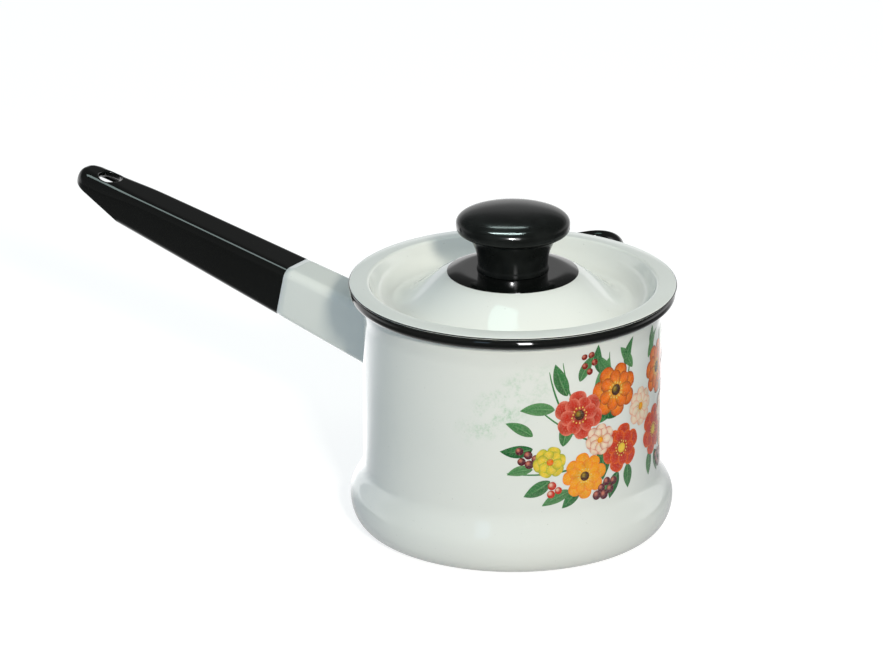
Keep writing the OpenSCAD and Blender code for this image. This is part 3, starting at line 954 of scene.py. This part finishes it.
def make_camera():
    data = bpy.data.cameras.new("camera")
    data.lens = LENS
    data.sensor_width = 36
    data.clip_start, data.clip_end = 0.1, 50
    camera = bpy.data.objects.new("camera", data)
    bpy.context.scene.collection.objects.link(camera)
    back = heading(CAMERA_AZIMUTH, CAMERA_ELEVATION)
    camera.location = (Vector(CAMERA_TARGET) + back * CAMERA_DISTANCE) * MM
    look = (-back).to_track_quat("-Z", "Y").to_matrix()
    camera.rotation_euler = (look @ Matrix.Rotation(CAMERA_ROLL, 3, "Z")).to_euler()
    bpy.context.scene.camera = camera


def ramp(tree, value, stops):
    """Colour ramp over a value from 0 to 1, with stops as (place, grey or colour)."""
    node = tree.nodes.new("ShaderNodeValToRGB")
    points = node.color_ramp.elements
    while len(points) < len(stops):
        points.new(0.5)
    for point, (place, colour) in zip(points, stops):
        point.position = place
        point.color = (*colour, 1) if isinstance(colour, tuple) else (colour, colour, colour, 1)
    tree.links.new(value, node.inputs["Fac"])
    return node.outputs["Color"]


def joined_shader(tree, kind, *sources):
    """A node that joins shaders. Its inputs take the sources in their order."""
    node = tree.nodes.new(kind)
    for socket, source in zip(node.inputs, sources):
        tree.links.new(source, socket)
    return node.outputs[0]


def emission(tree, strength):
    node = tree.nodes.new("ShaderNodeEmission")
    if isinstance(strength, float):
        node.inputs["Strength"].default_value = strength
    else:
        tree.links.new(strength, node.inputs["Strength"])
    return node


def floor_glow_shader(tree):
    """A glow that glossy surfaces see in place of the floor, a painted reflection: bright near the pot and
    behind it, dim in front.
    """
    turned = mapped(tree, place_in(tree), Rotation=(0, 0, math.radians(-CAMERA_AZIMUTH - FLOOR_TURN)))
    behind = split(tree, vector_math(tree, "NORMALIZE", turned).outputs["Vector"])["Y"]
    # Painted reflection: the floor glows for glossy rays, brightest behind the pot and close round it.
    floor_glow = emission(tree, remap(tree, behind, 0.64, 0.8, 1.0, 1.7))
    pale = ramp(tree, behind, [(0, 0.09), (0.3, 0.14), (0.42, 0.25), (0.54, 0.55), (0.66, 1.0)])
    near = remap(tree, length_of(tree, place_in(tree)), 0.08, 0.2, 0.5, 0)
    tree.links.new(blend(tree, 1.0, pale, near, "ADD"), floor_glow.inputs["Color"])
    return floor_glow.outputs[0]


def make_floor():
    """White floor. The camera, matt surfaces and glossy surfaces each see their own version of it, and glossy
    surfaces see a painted reflection: a glow that is brightest near the pot and behind it.
    """
    points = [(FLOOR_R * MM * math.cos(a), FLOOR_R * MM * math.sin(a), 0) for a in even_turns(64)]
    mesh = bpy.data.meshes.new("floor")
    mesh.from_pydata(points, [], [tuple(range(64))])
    material, tree, bsdf = shader("floor_white", (0.73, 0.715, 0.70), 0.95, Specular_IOR_Level=0)
    matt = tree.nodes.new("ShaderNodeBsdfDiffuse")
    matt.inputs["Color"].default_value = (0.4, 0.4, 0.4, 1)
    path = tree.nodes.new("ShaderNodeLightPath").outputs
    shown = joined_shader(tree, "ShaderNodeAddShader", matt.outputs[0], emission(tree, 0.78).outputs[0])
    seen = joined_shader(tree, "ShaderNodeMixShader", path["Is Camera Ray"], bsdf.outputs[0], shown)
    surface = joined_shader(tree, "ShaderNodeMixShader", path["Is Glossy Ray"], seen, floor_glow_shader(tree))
    tree.links.new(surface, tree.nodes["Material Output"].inputs["Surface"])
    mesh.materials.append(material)
    floor = bpy.data.objects.new("floor", mesh)
    bpy.context.scene.collection.objects.link(floor)


def softbox(name, azimuth, elevation, away, width, height, level, colour, only=(), glossy=True, diffuse=True):
    """Rectangular lamp aimed at the pot, with its distance and size in metres.

    Level is how bright its face is, where white is 1. Only names the pieces that it lights, where it doesn't
    light all.
    """
    data = bpy.data.lights.new(name, "AREA")
    data.shape = "RECTANGLE"
    data.size, data.size_y = width, height
    data.energy = math.pi * level * width * height
    data.color = colour
    light = bpy.data.objects.new(name, data)
    out = heading(azimuth, elevation)
    light.location = out * away + Vector((0, 0, LAMP_AIM_Z * MM))
    light.rotation_euler = (-out).to_track_quat("-Z", "Y").to_euler()
    light.visible_glossy, light.visible_diffuse = glossy, diffuse
    bpy.context.scene.collection.objects.link(light)
    if only:
        group = bpy.data.collections.new(name + "_only")
        for lit in only:
            group.objects.link(bpy.data.objects[lit])
        light.light_linking.receiver_collection = group


def make_world():
    """White for the camera, cool fill for matt surfaces, and in reflections a horizon under a dim ceiling."""
    world = bpy.data.worlds.new("studio")
    bpy.context.scene.world = world
    world.use_nodes = True
    tree = world.node_tree
    background = tree.nodes["Background"]
    path = tree.nodes.new("ShaderNodeLightPath").outputs
    turned = mapped(tree, place_in(tree, "Generated"), Rotation=(0, 0, math.radians(-CAMERA_AZIMUTH)))
    way = split(tree, turned)
    horizon = [(0, 1.0), (0.2, 1.0), (0.27, 0.42), (0.355, 0.35)]
    ceiling = [(0.385, 0.2), (0.41, 0.12), (0.5, 0.09), (1, 0.08)]
    back = ramp(tree, way["Z"], horizon + ceiling)
    front = ramp(tree, way["Z"], [(0, 0.16), (1, 0.1)])
    mirrored = blend(tree, remap(tree, way["Y"], -0.1, 0.3, 0, 1), front, back)
    cool = [(0, (0.14, 0.22, 0.3)), (0.5, (0.15, 0.237, 0.335)), (1, (0.72, 0.77, 0.68))]
    fill = ramp(tree, way["Z"], cool)
    unseen = blend(tree, path["Is Glossy Ray"], fill, mirrored)
    tree.links.new(blend(tree, path["Is Camera Ray"], unseen, (1.0, 1.0, 1.0)), background.inputs["Color"])
    background.inputs["Strength"].default_value = 1.0


def make_lamps():
    """Lamps for the whole pan, then lamps that light one piece or the black pieces alone."""
    softbox("key", 42.5, 27, 1.6, 0.14, 0.14, 244.0, (1.0, 0.948, 0.79), glossy=False)
    softbox("side", 95, 50, 1.4, 0.5, 0.5, 2.4, (1.0, 0.97, 0.9), glossy=False)
    softbox("cool_fill", -40, 25, 1.5, 0.4, 0.4, 3.3, (0.75, 0.9, 1.0), glossy=False)
    softbox("overhead", 0, 77.2, 1.2, 0.4, 0.3, 2.2, (0.6, 1.0, 0.92), diffuse=False)
    softbox("window", 10, 30, 1.6, 0.26, 0.4, 1.25, (0.5, 0.75, 1.0))
    softbox("lid_side", 130, 50, 1.4, 0.5, 0.5, 3.4, (1.0, 0.98, 0.85), ["lid_enamel"], glossy=False)
    softbox("strip", 40.5, 22, 1.6, 0.24, 0.9, 25.0, (1, 1, 1), BLACK_PIECES, diffuse=False)
    pale = (0.8, 1.0, 0.97)
    softbox("overhead_left", -79, 74.6, 1.2, 0.3, 0.9, 3.4, pale, ["handle_grip_enamel"], diffuse=False)
    softbox("knob_near", -57.5, 83, 1.2, 0.14, 0.7, 130.0, pale, ["knob_body"], diffuse=False)
    softbox("knob_far", -143, 54, 1.2, 0.36, 0.07, 22.0, pale, ["knob_body"], diffuse=False)
    softbox("knob_dot", 30, 26, 1.6, 0.14, 0.14, 3000.0, (1, 1, 1), ["knob_body"], diffuse=False)


make_camera()
make_floor()
make_world()
make_lamps()
bpy.context.scene.view_settings.view_transform = "Standard"
